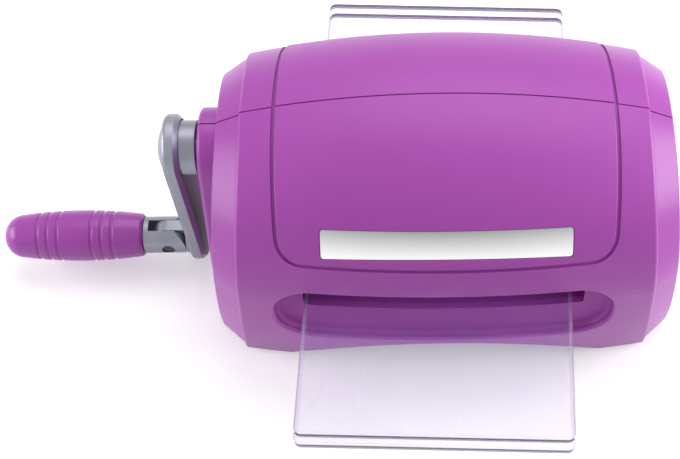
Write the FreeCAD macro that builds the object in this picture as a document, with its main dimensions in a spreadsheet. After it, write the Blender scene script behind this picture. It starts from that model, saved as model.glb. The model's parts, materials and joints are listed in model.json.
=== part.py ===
import FreeCAD, Part
import math
import os
import Sketcher

# Manual die cutting machine, in millimetres.
# +X to the right, +Y to the back, +Z up. The origin lies on the table below the middle of the housing.
# The crank is on the left, and the cutting plates run from front to back.

V = FreeCAD.Vector
ALONG_X = V(1, 0, 0)
ALONG_Y = V(0, 1, 0)
ALONG_Z = V(0, 0, 1)
LEFT, RIGHT = -1, 1
FRONT, REAR = -1, 1
PRESSURE_ANGLE = math.radians(25)
TOUCH = 0.01

SIZES = {
    # Housing, a barrel lying along X with a leaning band at each end
    "ground_gap": 1.5,
    "crest_height": 120.2,
    "crest_bow": 305.0,
    "widest_level": 62.0,
    "half_depth": 62.5,
    "depth_bow": 622.0,
    "base_half_depth": 55.3,
    "base_bow": 533.0,
    "seam_half_width": 88.6,
    "seam_lean": 0.068,
    "seam_round": 1.6,
    "band_step": 1.8,
    "rim_half_width": 99.3,
    "rim_lean": 0.078,
    "rim_half_depth": 47.0,
    "rim_base_half_depth": 36.0,
    "rim_crest": 102.8,
    "rim_round": 1.6,
    "wall": 3.0,
    "parting_groove": 0.6,
    "lap_half_width": 70.0,
    "lap_reach": 4.0,
    "lap_thickness": 1.2,
    "lap_gap": 0.15,
    # Raised panel over the front, the top and the rear, with a groove at its foot
    "panel_half_width": 66.8,
    "panel_low_half_width": 65.1,
    "panel_bottom": 83.9,
    "panel_corner": 9.0,
    "panel_proud": 0.4,
    "panel_round": 0.45,
    "panel_groove_width": 1.6,
    "panel_groove_depth": 0.9,
    # Pad of the housing wall behind the crank
    "pad_half_width": 103.3,
    "pad_lean": 0.045,
    "pad_top_radius": 16.5,
    "pad_low_radius": 22.5,
    "pad_low_level": 26.0,
    "pad_round": 2.0,
    # Recess and slot for the cutting plates, front and rear, and the arch below them
    "recess_half_width": 69.0,
    "recess_low": 30.6,
    "recess_high": 68.4,
    "recess_depth": 4.4,
    "recess_corner_share": 0.85,
    "recess_floor_share": 0.52,
    "recess_rim_share": 0.3,
    "slot_aside": -1.0,
    "slot_half_width": 57.0,
    "slot_headroom": 7.0,
    "arch_radius": 110.0,
    "arch_rise": 25.5,
    # Label strip
    "label_half_width": 48.8,
    "label_low": 88.5,
    "label_high": 98.2,
    "label_bow": 800.0,
    "label_corner": 1.0,
    "label_gap": 0.35,
    "label_thickness": 0.8,
    "label_proud": 0.2,
    # Clear cutting plates
    "plate_level": 56.0,
    "plate_thickness": 3.0,
    "plate_width": 108.0,
    "plate_length": 215.0,
    "plate_corner": 3.0,
    "plate_aside": -1.6,
    "plate_forward": 9.3,
    "plate_turn": 2.2,
    "lower_plate_lead": 3.0,
    # Rollers and their bushes
    "roller_radius": 12.0,
    "roller_half_length": 60.0,
    "roller_edge": 1.0,
    "roller_nip": 0.15,
    "journal_radius": 4.5,
    "running_clearance": 0.05,
    "end_play": 0.3,
    "bush_radius": 6.0,
    "bush_flange_radius": 7.2,
    "bush_flange_gap": 0.25,
    "bush_flange": 1.5,
    "clip_thickness": 0.8,
    "clip_radius": 6.3,
    "clip_groove": 0.9,
    "clip_opening_share": 0.8,
    "journal_tip": 1.2,
    "journal_edge": 0.4,
    # Side frames and tie bars
    "frame_gap": 1.0,
    "frame_thickness": 2.5,
    "frame_base_half": 39.0,
    "frame_base_level": 12.0,
    "frame_shoulder_level": 60.0,
    "frame_top_half": 22.0,
    "frame_headroom": 5.5,
    "frame_corner": 8.0,
    "frame_hole_radius": 7.5,
    "frame_hole_along": 24.0,
    "tab_reach": 13.5,
    "tab_width": 12.0,
    "tab_screw_along": 9.0,
    "tab_screw_across": 32.0,
    "tie_bar_radius": 4.0,
    "lower_tie_across": 30.0,
    "upper_tie_across": 17.0,
    "upper_tie_drop": 7.0,
    # Feed tables
    "table_drop": 0.4,
    "table_thickness": 3.0,
    "table_inner": 12.5,
    "table_end_gap": 0.4,
    "table_side_gap": 0.5,
    "upstand_thickness": 1.6,
    "upstand_height": 5.4,
    "rib_thickness": 2.0,
    "rib_spacing": 36.0,
    "rib_depth": 7.0,
    "rib_root_share": 2.2,
    "rib_foot_share": 1.5,
    # Gear train
    "drive_teeth": 32,
    "pinion_teeth": 12,
    "roller_teeth": 15,
    "tooth_tip": 0.85,
    "tooth_root": 1.15,
    "tooth_heel": 0.3,
    "tooth_backlash": 0.3,
    "drive_neck": 7.7,
    "drive_face": 8.0,
    "drive_hub_radius": 8.5,
    "drive_hub_proud": 1.0,
    "drive_rim": 4.5,
    "drive_web": 4.0,
    "drive_hole_radius": 5.0,
    "pinion_face": 9.0,
    "pinion_neck": 7.2,
    "pinion_hub_radius": 7.5,
    "pinion_hub_proud": 2.7,
    "roller_gear_neck": 5.0,
    "roller_gear_face": 7.0,
    "roller_gear_hub_radius": 8.0,
    "gear_pin_radius": 1.25,
    # Crank
    "case_bush_radius": 7.0,
    "case_bush_flange_radius": 9.0,
    "case_bush_seat_radius": 10.0,
    "hub_radius": 11.3,
    "hub_edge": 0.3,
    "hub_gap": 0.3,
    "hub_length": 6.65,
    "arm_thickness": 6.7,
    "arm_top_radius": 14.0,
    "arm_low_radius": 11.0,
    "arm_round": 2.0,
    "arm_chamfer": 1.8,
    "lug_proud": 1.65,
    "crank_throw": 67.3,
    "square_end": 6.2,
    "square_length": 3.6,
    "arm_screw_radius": 2.4,
    "arm_screw_head_radius": 4.5,
    "arm_screw_head": 1.6,
    "arm_screw_depth": 9.0,
    "cap_radius": 11.0,
    "cap_seat": 1.2,
    "cap_dome": 3.2,
    # Folding handle
    "tongue_thickness": 5.2,
    "tongue_radius": 7.8,
    "fork_gap": 0.1,
    "fork_radius": 8.2,
    "fork_length": 11.0,
    "fork_slot_gap": 0.2,
    "fork_slot_depth": 8.5,
    "fork_edge": 0.4,
    "fold_pin_radius": 2.8,
    "fold_pin_length": 15.0,
    "spigot_radius": 6.4,
    "spigot_length": 11.4,
    "spindle_radius": 4.0,
    "spindle_length": 53.0,
    "spindle_socket": 0.6,
    "snap_ring_along": 48.0,
    "snap_ring_radius": 5.2,
    "grip_length": 62.0,
    "grip_end_radius": 9.6,
    "grip_swell": 1.85,
    "grip_nose_length": 7.5,
    "grip_nose_round": 8.6,
    "grip_nose_flat": 3.2,
    "grip_neck_round": 1.0,
    "grip_groove_width": 2.0,
    "grip_groove_depth": 0.5,
    "grip_groove_pitch": 4.5,
    "grip_group_near": 17.6,
    "grip_group_far": 41.5,
    # Base cover, feet and screws
    "cover_level": 2.5,
    "cover_thickness": 2.5,
    "cover_gap": 0.2,
    "foot_radius": 7.0,
    "foot_round": 0.8,
    "foot_across": 84.0,
    "foot_along": 33.0,
    "foot_stem_radius": 2.4,
    "foot_head_radius": 3.4,
    "foot_head": 1.5,
    "foot_tip_share": 0.8,
    "screw_radius": 1.9,
    "screw_head_radius": 3.4,
    "screw_head": 2.4,
    "screw_depth": 10.0,
    "screw_boss_radius": 4.6,
    "base_screw_head": 1.2,
    "shell_screw_radius": 1.4,
    "shell_screw_head_radius": 2.7,
    "shell_screw_across": 87.5,
    "shell_screw_level": 62.0,
    "shell_boss_radius": 3.6,
    "shell_seat_depth": 8.0,
    "base_screw_across": 92.3,
    "base_screw_along": 22.0,
    "base_boss_height": 17.0,
}


class Size:
    """A size worked out from the sheet, as its number and as the expression that a feature is bound to."""

    def __init__(self, number, text):
        self.number = number
        self.text = text

    def __float__(self):
        return float(self.number)

    def __add__(self, other):
        return Size(self.number + float(other), "(%s + %s)" % (self.text, words(other)))

    def __radd__(self, other):
        return Size(float(other) + self.number, "(%s + %s)" % (words(other), self.text))

    def __sub__(self, other):
        return Size(self.number - float(other), "(%s - %s)" % (self.text, words(other)))

    def __rsub__(self, other):
        return Size(float(other) - self.number, "(%s - %s)" % (words(other), self.text))

    def __mul__(self, other):
        return Size(self.number * float(other), "(%s * %s)" % (self.text, words(other)))

    def __rmul__(self, other):
        return Size(float(other) * self.number, "(%s * %s)" % (words(other), self.text))

    def __truediv__(self, other):
        return Size(self.number / float(other), "(%s / %s)" % (self.text, words(other)))

    def __neg__(self):
        return Size(-self.number, "(0 - %s)" % self.text)


def words(value):
    """The expression text of a size or of a plain number."""
    if isinstance(value, Size):
        return value.text
    return "(%.9f)" % value if value < 0 else "%.9f" % value


def root(value):
    return Size(math.sqrt(float(value)), "sqrt(%s)" % words(value))


def size(name):
    return Size(SIZES[name], "Sizes." + name)


def number(name):
    return float(SIZES[name])


def bind(thing, place, value):
    """Bind a property or a constraint to a size, or set it where the value is a plain number."""
    if isinstance(value, Size):
        thing.setExpression(place, value.text)
    else:
        setattr(thing, place, value)


doc = FreeCAD.newDocument("die_cutting_machine")
sheet = doc.addObject("Spreadsheet::Sheet", "Sizes")
for row, (alias, amount) in enumerate(SIZES.items(), 1):
    sheet.set("A%d" % row, alias)
    sheet.set("B%d" % row, str(amount))
    sheet.setAlias("B%d" % row, alias)
doc.recompute()

# Levels and places that several pieces share
PLATE_BOTTOM = size("plate_level") - size("plate_thickness")
PLATE_TOP = size("plate_level") + size("plate_thickness")
SLOT_FLOOR = PLATE_BOTTOM - size("table_drop")
SLOT_ROOF = PLATE_TOP + size("slot_headroom")
LOWER_AXIS = PLATE_BOTTOM - size("roller_nip") - size("roller_radius")
UPPER_AXIS = PLATE_TOP + size("roller_nip") + size("roller_radius")
CRANK_AXIS = UPPER_AXIS + size("bush_flange_radius") * 2 + size("bush_flange_gap")
FRAME_INNER = size("roller_half_length") + size("frame_gap")
FRAME_OUTER = FRAME_INNER + size("frame_thickness")
BUSH_INNER = size("roller_half_length") + size("end_play")
BUSH_OUTER = FRAME_OUTER + size("bush_flange")
GEAR_START = BUSH_OUTER + size("end_play")
RUNNING_BORE = size("journal_radius") + size("running_clearance")
TABLE_UNDER = SLOT_FLOOR - size("table_thickness")
LOWER_TIE_LEVEL = TABLE_UNDER - size("tie_bar_radius") - size("running_clearance")
CEILING = size("crest_height") - FRAME_OUTER * FRAME_OUTER / (size("crest_bow") * 2) - size("wall")
FRAME_TOP = CEILING - size("frame_headroom")
UPPER_TIE_LEVEL = FRAME_TOP - size("upper_tie_drop")
DRIVE_MODULE = 2 * (CRANK_AXIS - LOWER_AXIS) / (number("drive_teeth") + number("pinion_teeth"))
ROLLER_MODULE = (UPPER_AXIS - LOWER_AXIS) / number("roller_teeth")
DRIVE_END = GEAR_START + size("drive_neck") + size("drive_face") + size("drive_hub_proud")
PINION_END = GEAR_START + size("pinion_neck") + size("pinion_face") + size("pinion_hub_proud")
ROLLER_GEAR_END = GEAR_START + size("roller_gear_neck") + size("roller_gear_face")
CASE_BUSH_START = PINION_END + size("end_play")
CASE_BUSH_SEAT = CASE_BUSH_START + size("bush_flange")
PAD_AT_HUB = size("pad_half_width") - size("pad_lean") * (CRANK_AXIS - size("hub_radius"))
HUB_START = PAD_AT_HUB + size("hub_gap")
ARM_INNER = HUB_START + size("hub_length")
ARM_OUTER = ARM_INNER + size("arm_thickness")
PIN_LEVEL = CRANK_AXIS - size("crank_throw")
LUG_OUTER = ARM_OUTER + size("lug_proud")
PIN_ACROSS = LUG_OUTER + size("fork_gap") + size("fork_radius")
FORK_END = PIN_ACROSS + size("fork_length")
SPIGOT_END = FORK_END + size("spigot_length")
SPINDLE_START = FORK_END + size("spindle_socket")
SPINDLE_END = SPINDLE_START + size("spindle_length")
SNAP_RING_PLACE = SPINDLE_START + size("snap_ring_along")


# Sketches and features

def origin_plane(body, role):
    for feature in body.Origin.OriginFeatures:
        if feature.Role == role:
            return feature
    raise RuntimeError("no plane " + role)


def new_body(label):
    body = doc.addObject("PartDesign::Body", label)
    body.Label = label
    return body


def new_sketch(body, name, role, offset=0.0):
    """A sketch parallel to an origin plane of its own body, moved along the plane's normal."""
    sketch = body.newObject("Sketcher::SketchObject", name)
    sketch.AttachmentSupport = [(origin_plane(body, role), "")]
    sketch.MapMode = "FlatFace"
    sketch.AttachmentOffset = FreeCAD.Placement(V(0, 0, float(offset)), FreeCAD.Rotation())
    if isinstance(offset, Size):
        sketch.setExpression("AttachmentOffset.Base.z", offset.text)
    return sketch


def tie(sketch, constraint, value):
    index = sketch.addConstraint(constraint)
    if isinstance(value, Size):
        sketch.setExpression("Constraints[%d]" % index, value.text)


def pin_point(sketch, piece, end, x, y):
    """Hold a point of the sketch at x and y from its origin."""
    tie(sketch, Sketcher.Constraint("DistanceX", -1, 1, piece, end, float(x)), x)
    tie(sketch, Sketcher.Constraint("DistanceY", -1, 1, piece, end, float(y)), y)


def add_circle(sketch, x, y, radius):
    circle = Part.Circle(V(float(x), float(y), 0), ALONG_Z, float(radius))
    piece = sketch.addGeometry(circle)
    pin_point(sketch, piece, 3, x, y)
    tie(sketch, Sketcher.Constraint("Radius", piece, float(radius)), radius)


def flat_arc(start, stop, radius):
    """Arc of less than half a turn, with its radius positive where it turns left on the way."""
    chord = stop - start
    aside = V(-chord.y, chord.x, 0).normalize()
    if radius < 0:
        aside = aside * -1
    reach = math.sqrt(radius ** 2 - (chord.Length / 2) ** 2)
    centre = start + chord * 0.5 + aside * reach
    first, last = (start, stop) if radius > 0 else (stop, start)
    turns = [math.atan2(end.y - centre.y, end.x - centre.x) for end in (first, last)]
    if turns[1] < turns[0]:
        turns[1] += 2 * math.pi
    return Part.ArcOfCircle(Part.Circle(centre, ALONG_Z, abs(radius)), turns[0], turns[1])


def add_outline(sketch, points):
    """Closed outline through the points: (x, y), or (x, y, radius) where an arc leads to the next one."""
    first = sketch.GeometryCount
    ends = []
    for index, point in enumerate(points):
        following = points[(index + 1) % len(points)]
        start = V(float(point[0]), float(point[1]), 0)
        stop = V(float(following[0]), float(following[1]), 0)
        if len(point) == 3:
            sketch.addGeometry(flat_arc(start, stop, float(point[2])))
            ends.append((1, 2) if float(point[2]) > 0 else (2, 1))
        else:
            sketch.addGeometry(Part.LineSegment(start, stop))
            ends.append((1, 2))
    for index, point in enumerate(points):
        following = (index + 1) % len(points)
        joint = Sketcher.Constraint("Coincident", first + index, ends[index][1],
                                    first + following, ends[following][0])
        sketch.addConstraint(joint)
        pin_point(sketch, first + index, ends[index][0], point[0], point[1])
        if len(point) == 3:
            radius = point[2] if float(point[2]) > 0 else -point[2]
            tie(sketch, Sketcher.Constraint("Radius", first + index, float(radius)), radius)


def add_rectangle(sketch, x_low, x_high, y_low, y_high):
    add_outline(sketch, [(x_low, y_low), (x_high, y_low), (x_high, y_high), (x_low, y_high)])


def swept(body, kind, name, sketch, length, backwards=False, both_ways=False):
    """A pad or pocket of the sketch."""
    feature = body.newObject("PartDesign::" + kind, name)
    feature.Profile = sketch
    feature.Length = float(length)
    bind(feature, "Length", length if isinstance(length, Size) else float(length))
    feature.Midplane = both_ways
    feature.Reversed = backwards
    doc.recompute()
    return feature


def pad(body, name, sketch, length, backwards=False, both_ways=False):
    return swept(body, "Pad", name, sketch, length, backwards, both_ways)


def pocket(body, name, sketch, length, backwards=False, both_ways=False):
    """A pocket, which has to take some volume away."""
    before = body.Shape.Volume
    feature = swept(body, "Pocket", name, sketch, length, backwards, both_ways)
    if body.Shape.Volume > before - 1e-6:
        raise RuntimeError(name + " cuts nothing")
    return feature


def revolved(body, kind, name, sketch, axis):
    feature = body.newObject("PartDesign::" + kind, name)
    feature.Profile = sketch
    feature.ReferenceAxis = (sketch, [axis])
    feature.Angle = 360
    doc.recompute()
    return feature


def around(body, name, feature, axis_role, count):
    """Polar pattern of a feature about an axis of the body."""
    pattern = body.newObject("PartDesign::PolarPattern", name)
    pattern.Originals = [feature]
    pattern.Axis = (origin_plane(body, axis_role), [""])
    pattern.Angle = 360
    bind(pattern, "Occurrences", count)
    body.Tip = pattern
    doc.recompute()
    return pattern


def passes(edge, test):
    """Whether the ends and the middle of an edge all pass the test."""
    span = (edge.FirstParameter, (edge.FirstParameter + edge.LastParameter) / 2, edge.LastParameter)
    return all(test(edge.valueAt(place)) for place in span)


def edges_where(shape, test):
    """Names of the edges that pass the test."""
    return ["Edge%d" % index for index, edge in enumerate(shape.Edges, 1) if passes(edge, test)]


def rounded_where(shape, test, radius):
    """The shape with a fillet on its edges that pass the test."""
    edges = [edge for edge in shape.Edges if passes(edge, test)]
    if not edges:
        raise RuntimeError("no edge to round")
    return shape.makeFillet(radius, edges)


def dressed(body, kind, name, test, amount):
    """A fillet or chamfer on the edges of the body's last feature that pass the test."""
    base = body.Tip
    names = edges_where(base.Shape, test)
    if not names:
        raise RuntimeError(name + " finds no edge")
    feature = body.newObject("PartDesign::" + kind, name)
    feature.Base = (base, names)
    bind(feature, "Radius" if kind == "Fillet" else "Size", amount)
    doc.recompute()
    return feature


def close(value, target):
    return abs(value - float(target)) < 1e-4


def stand(body, x=None, y=None, z=None):
    """Place the body by sizes."""
    for letter, value in (("x", x), ("y", y), ("z", z)):
        if value is not None:
            bind_place(body, letter, value)


def bind_place(body, letter, value):
    base = body.Placement.Base
    setattr(base, letter, float(value))
    body.Placement = FreeCAD.Placement(base, body.Placement.Rotation)
    if isinstance(value, Size):
        body.setExpression("Placement.Base." + letter, value.text)


def turned(label, profile, level):
    """A piece turned about an axis along X at a level; the profile gives (x, radius) points."""
    body = new_body(label)
    sketch = new_sketch(body, label + "_profile", "XZ_Plane")
    add_outline(sketch, profile)
    revolved(body, "Revolution", label + "_turned", sketch, "H_Axis")
    stand(body, z=level)
    return body


def cross_hole(body, name, x, radius, length):
    """A hole along Y through a turned piece, at x."""
    sketch = new_sketch(body, name + "_circle", "XZ_Plane")
    add_circle(sketch, x, 0, radius)
    return pocket(body, name, sketch, length, both_ways=True)


def feature_of(label, shape):
    """A piece whose form is worked out here from the sheet's sizes."""
    piece = doc.addObject("Part::Feature", label)
    piece.Label = label
    piece.Shape = shape
    return piece


# Housing

def elliptic_arc(centre, side, rise, angle):
    """Part of an ellipse from the tip of side, through the angle towards the tip of rise."""
    if side.Length >= rise.Length:
        ellipse = Part.Ellipse(centre + side, centre + rise, centre)
        return Part.ArcOfEllipse(ellipse, 0, angle).toShape()
    ellipse = Part.Ellipse(centre + rise, centre - side, centre)
    return Part.ArcOfEllipse(ellipse, -math.pi / 2, -math.pi / 2 + angle).toShape()


def section(x, lean, half_depth, base_half_depth, crest):
    """Outline of the housing in a leaning plane: elliptic above and below its widest level."""
    level = number("widest_level")
    up = V(-lean, 0, 1)
    centre = V(x, 0, 0) + up * level
    drop = level / math.sqrt(1 - (base_half_depth / half_depth) ** 2)
    edges = [Part.makeLine(V(x, -base_half_depth, 0), V(x, base_half_depth, 0))]
    for side in (FRONT, REAR):
        across = V(0, side * half_depth, 0)
        edges.append(elliptic_arc(centre, across, up * (crest - level), math.pi / 2))
        edges.append(elliptic_arc(centre, across, up * -drop, math.asin(level / drop)))
    return Part.Wire(Part.__sortEdges__(edges))


def bowed(height, bow, x):
    return number(height) - x * x / (2 * number(bow))


def barrel(inset):
    """The housing's barrel without its ends, smaller by the inset all round."""
    reach = number("rim_half_width")
    wires = []
    for share in (-1, -0.5, 0, 0.5, 1):
        x = share * reach
        half_depth = bowed("half_depth", "depth_bow", x) - inset
        base_half_depth = bowed("base_half_depth", "base_bow", x) - inset
        crest = bowed("crest_height", "crest_bow", x) - inset
        wires.append(section(x, 0, half_depth, base_half_depth, crest))
    return Part.makeLoft(wires, True, False)


def leaning_slab(half_width, lean):
    """Everything between two end planes that lean inwards by the given slope."""
    reach = 2 * number("crest_height")
    corners = []
    for side, level in ((LEFT, -reach), (RIGHT, -reach), (RIGHT, reach), (LEFT, reach)):
        corners.append(V(side * (half_width - lean * level), -reach, level))
    return Part.Face(Part.makePolygon(corners + corners[:1])).extrude(ALONG_Y * 2 * reach)


def rounded_end(shape, half_width, lean, radius):
    """The shape with the edges round its leaning end planes filleted, but for those on the ground."""
    def on_end(point):
        return abs(abs(point.x) - (half_width - lean * point.z)) < TOUCH and point.z > -TOUCH

    grounded = [edge.hashCode() for edge in shape.Edges if passes(edge, lambda point: abs(point.z) < TOUCH)]
    edges = [edge for edge in shape.Edges if passes(edge, on_end) and edge.hashCode() not in grounded]
    return shape.makeFillet(radius, edges)


def end_band(side, inset):
    """The cone between the barrel's end and the rim on one side."""
    seam = number("seam_half_width") - inset
    lean = number("seam_lean")
    less = inset + number("band_step")
    half_depth = bowed("half_depth", "depth_bow", seam - lean * number("widest_level")) - less
    base_half_depth = bowed("base_half_depth", "base_bow", seam) - less
    crest = bowed("crest_height", "crest_bow", seam - lean * number("crest_height")) - less
    inner = section(side * seam, side * lean, half_depth, base_half_depth, crest)
    outer = section(side * (number("rim_half_width") - inset), side * number("rim_lean"),
                    number("rim_half_depth") - inset, number("rim_base_half_depth") - inset,
                    number("rim_crest") - inset)
    return Part.makeLoft([inner, outer], True, True)


def housing_form(inset, rounded=False):
    """Barrel and end bands as one solid, smaller by the inset."""
    seam = number("seam_half_width") - inset
    middle = barrel(inset).common(leaning_slab(seam, number("seam_lean")))
    bands = [end_band(side, inset) for side in (LEFT, RIGHT)]
    if rounded:
        middle = rounded_end(middle, seam, number("seam_lean"), number("seam_round"))
        bands = [rounded_end(band, number("rim_half_width"), number("rim_lean"), number("rim_round"))
                 for band in bands]
    return middle.fuse(bands)


def round_hull(top_level, top_radius, low_level, low_radius, x_from, x_to):
    """Prism along X of the outline drawn tightly round two circles."""
    lean = math.acos((low_radius - top_radius) / (top_level - low_level))
    points = []
    for level, radius in ((top_level, top_radius), (low_level, low_radius)):
        points.append(V(x_from, radius * math.sin(lean), level + radius * math.cos(lean)))
    top, low = points
    top_other = V(x_from, -top.y, top.z)
    low_other = V(x_from, -low.y, low.z)
    edges = [Part.makeLine(top, low),
             Part.Arc(low, V(x_from, 0, low_level - low_radius), low_other).toShape(),
             Part.makeLine(low_other, top_other),
             Part.Arc(top_other, V(x_from, 0, top_level + top_radius), top).toShape()]
    return Part.Face(Part.Wire(edges)).extrude(V(x_to - x_from, 0, 0))


def crank_pad(inset, rounded=False):
    """The raised pad of the housing wall behind the crank."""
    inner = -number("seam_half_width")
    pad_half_width = number("pad_half_width") - inset
    form = round_hull(float(CRANK_AXIS), number("pad_top_radius") - inset, number("pad_low_level"),
                      number("pad_low_radius") - inset, -number("pad_half_width"), inner)
    form = form.common(leaning_slab(pad_half_width, number("pad_lean")))
    if rounded:
        form = rounded_end(form, pad_half_width, number("pad_lean"), number("pad_round"))
    return form


def outer_form(inset, rounded=False):
    return housing_form(inset, rounded).fuse(crank_pad(inset, rounded))


def block(x_low, x_high, y_low, y_high, z_low, z_high):
    return Part.makeBox(x_high - x_low, y_high - y_low, z_high - z_low, V(x_low, y_low, z_low))


def arch(grow):
    """The round tunnel from front to rear under the housing, or one of a larger radius round it."""
    reach = 2 * number("half_depth")
    centre = V(0, -reach, number("arch_rise") - number("arch_radius"))
    return Part.makeCylinder(number("arch_radius") + grow, 2 * reach, centre, ALONG_Y)


def prism_along_y(edges, corner, y_low, y_high):
    """Prism of an outline in the plane of X and Z, with its corners rounded."""
    form = Part.Face(Part.Wire(edges)).extrude(ALONG_Y * (y_high - y_low))
    form.translate(ALONG_Y * y_low)
    corners = [edge for edge in form.Edges if close(abs(edge.tangentAt(edge.FirstParameter).y), 1)]
    return form.makeFillet(corner, corners)


def sides(points):
    """Closed polygon through points of (x, z)."""
    corners = [V(x, 0, z) for x, z in points]
    return [Part.makeLine(start, stop) for start, stop in zip(corners, corners[1:] + corners[:1])]


def panel_outline(grow):
    """Prism from front to rear of the raised panel's outline, with round lower corners."""
    crest, low = number("crest_height"), number("panel_bottom")
    half, low_half = number("panel_half_width"), number("panel_low_half_width")
    slope = (half - low_half) / (crest - low)
    reach = 2 * crest
    high_half = half + slope * (reach - crest) + grow
    low_half = low_half - slope * grow + grow
    low -= grow
    outline = sides([(-low_half, low), (low_half, low), (high_half, reach), (-high_half, reach)])
    return prism_along_y(outline, number("panel_corner") + grow, -reach, reach)


def panel_groove():
    """Groove at the foot of the panel, running a little way under the panel."""
    ring = panel_outline(number("panel_groove_width")).cut(panel_outline(-number("panel_groove_width")))
    return ring.common(barrel(-number("wall"))).cut(barrel(number("panel_groove_depth")))


def raised_panel(end):
    """Front or rear half of the panel, down to the middle of the housing, with its edge rounded."""
    lift, reach = number("panel_proud"), 2 * number("crest_height")
    y_low, y_high = sorted((0, end * reach))
    form = barrel(-lift).common(block(-reach, reach, y_low, y_high, 0, reach)).common(panel_outline(0))
    below, within = barrel(-lift / 2), panel_outline(-lift)
    return rounded_where(form, lambda point: not below.isInside(point, TOUCH, True)
                         and not within.isInside(point, TOUCH, True), number("panel_round"))


def recess(end, grow, rounded=False):
    """Round-cornered pocket of the housing wall at the front or rear, or a larger one round it."""
    half = number("recess_half_width") + grow
    low, high = number("recess_low") - grow, number("recess_high") + grow
    left, right = number("slot_aside") - half, number("slot_aside") + half
    corner = number("recess_corner_share") * (high - low) / 2
    reach = 2 * number("half_depth")
    y_low, y_high = sorted((0, end * reach))
    outline = sides([(left, low), (right, low), (right, high), (left, high)])
    prism = prism_along_y(outline, corner, y_low, y_high)
    tool = prism.cut(barrel(number("recess_depth") + grow))
    if rounded:
        level = number("widest_level")
        seam = [edge.hashCode() for edge in tool.Edges if passes(edge, lambda point: close(point.z, level))]
        edges = [edge for edge in tool.Edges if edge.hashCode() not in seam
                 and passes(edge, lambda point: abs(point.y) < number("half_depth"))]
        tool = tool.makeFillet(number("recess_floor_share") * number("recess_depth"), edges)
    return tool


def with_recesses(form):
    """The solid form of the housing with both recesses in it, their rims rounded."""
    depth = number("recess_depth")
    form = form.cut([recess(end, 0, True) for end in (FRONT, REAR)])
    skin_floor = barrel(depth / 2)
    near = recess(FRONT, TOUCH).fuse(recess(REAR, TOUCH))
    return rounded_where(form, lambda point: near.isInside(point, TOUCH, True)
                         and not skin_floor.isInside(point, TOUCH, True), number("recess_rim_share") * depth)


def label_space(grow):
    """Everything in front of the middle that lies behind the label strip's outline."""
    half = number("label_half_width") + grow
    low, high = number("label_low") - grow, number("label_high") + grow
    bow = half * half / (2 * number("label_bow"))
    edges = [Part.Arc(V(-half, 0, low - bow), V(0, 0, low), V(half, 0, low - bow)).toShape(),
             Part.makeLine(V(half, 0, low - bow), V(half, 0, high - bow)),
             Part.Arc(V(half, 0, high - bow), V(0, 0, high), V(-half, 0, high - bow)).toShape(),
             Part.makeLine(V(-half, 0, high - bow), V(-half, 0, low - bow))]
    return prism_along_y(edges, number("label_corner") + grow, -number("crest_height"), 0)


def crank_bore(radius, x_from, x_to):
    return Part.makeCylinder(radius, x_to - x_from, V(x_from, 0, float(CRANK_AXIS)), ALONG_X)


def boss_along_y(x, level, radius, hollow):
    """A screw boss from front to rear inside the housing."""
    reach = number("half_depth")
    bar = Part.makeCylinder(radius, 2 * reach, V(x, -reach, level), ALONG_Y)
    return bar.common(hollow)


SHELL_SCREWS = [(side * number("shell_screw_across"), number("shell_screw_level")) for side in (LEFT, RIGHT)]
BASE_SCREWS = [(side * number("base_screw_across"), end * number("base_screw_along"))
               for side in (LEFT, RIGHT) for end in (FRONT, REAR)]
FRAME_SCREWS = [(side * float(FRAME_OUTER + size("tab_screw_along")), end * number("tab_screw_across"))
                for side in (LEFT, RIGHT) for end in (FRONT, REAR)]
FEET = [(side * number("foot_across"), end * number("foot_along"))
        for side in (LEFT, RIGHT) for end in (FRONT, REAR)]
COVER_TOP = number("cover_level") + number("cover_thickness")


def hollow_form():
    """The space inside the housing, with the walls of the recesses left standing."""
    space = housing_form(number("wall")).fuse(crank_pad(number("wall")))
    return space.cut([recess(end, number("wall")) for end in (FRONT, REAR)])


def housing_solid():
    """Both halves of the housing as one."""
    hollow = hollow_form()
    shell = with_recesses(outer_form(0, True)).cut(panel_groove())
    shell = shell.fuse([raised_panel(end) for end in (FRONT, REAR)]).cut(hollow)
    seat = crank_bore(number("case_bush_seat_radius"), -number("pad_half_width"), -float(CASE_BUSH_SEAT))
    seat = seat.common(leaning_slab(number("pad_half_width") - number("wall") / 2, number("pad_lean")))
    bosses = [boss_along_y(x, level, number("shell_boss_radius"), hollow) for x, level in SHELL_SCREWS]
    for x, y in BASE_SCREWS:
        post = Part.makeCylinder(number("shell_boss_radius"), number("base_boss_height"), V(x, y, COVER_TOP))
        bosses.append(post.common(hollow))
    shell = shell.fuse([seat] + bosses)
    slot_left = number("slot_aside") - number("slot_half_width")
    slot_right = number("slot_aside") + number("slot_half_width")
    reach = number("half_depth")
    label_seat = outer_form(-number("wall")).cut(barrel(number("label_thickness") - number("label_proud")))
    label_seat = label_seat.common(label_space(number("label_gap")))
    case_bore = crank_bore(number("case_bush_radius") + number("running_clearance"),
                           -number("pad_half_width"), -number("seam_half_width") + number("wall"))
    cuts = [label_seat, case_bore, arch(0),
            block(slot_left, slot_right, -reach, reach, float(SLOT_FLOOR), float(SLOT_ROOF)),
            block(-2 * reach, 2 * reach, -2 * reach, 2 * reach, -number("ground_gap"), number("ground_gap"))]
    thread = number("shell_screw_radius") + number("running_clearance")
    head = number("shell_screw_head_radius") + number("running_clearance")
    for x, y in BASE_SCREWS:
        cuts.append(Part.makeCylinder(thread, number("screw_depth"), V(x, y, COVER_TOP)))
    for x, level in SHELL_SCREWS:
        cuts.append(Part.makeCylinder(thread, number("screw_depth"), V(x, 0, level), -ALONG_Y))
        cuts.append(Part.makeCylinder(thread, number("shell_seat_depth"), V(x, 0, level), ALONG_Y))
        cuts.append(Part.makeCylinder(head, 2 * reach, V(x, number("shell_seat_depth"), level), ALONG_Y))
    return shell.cut(cuts)


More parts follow.
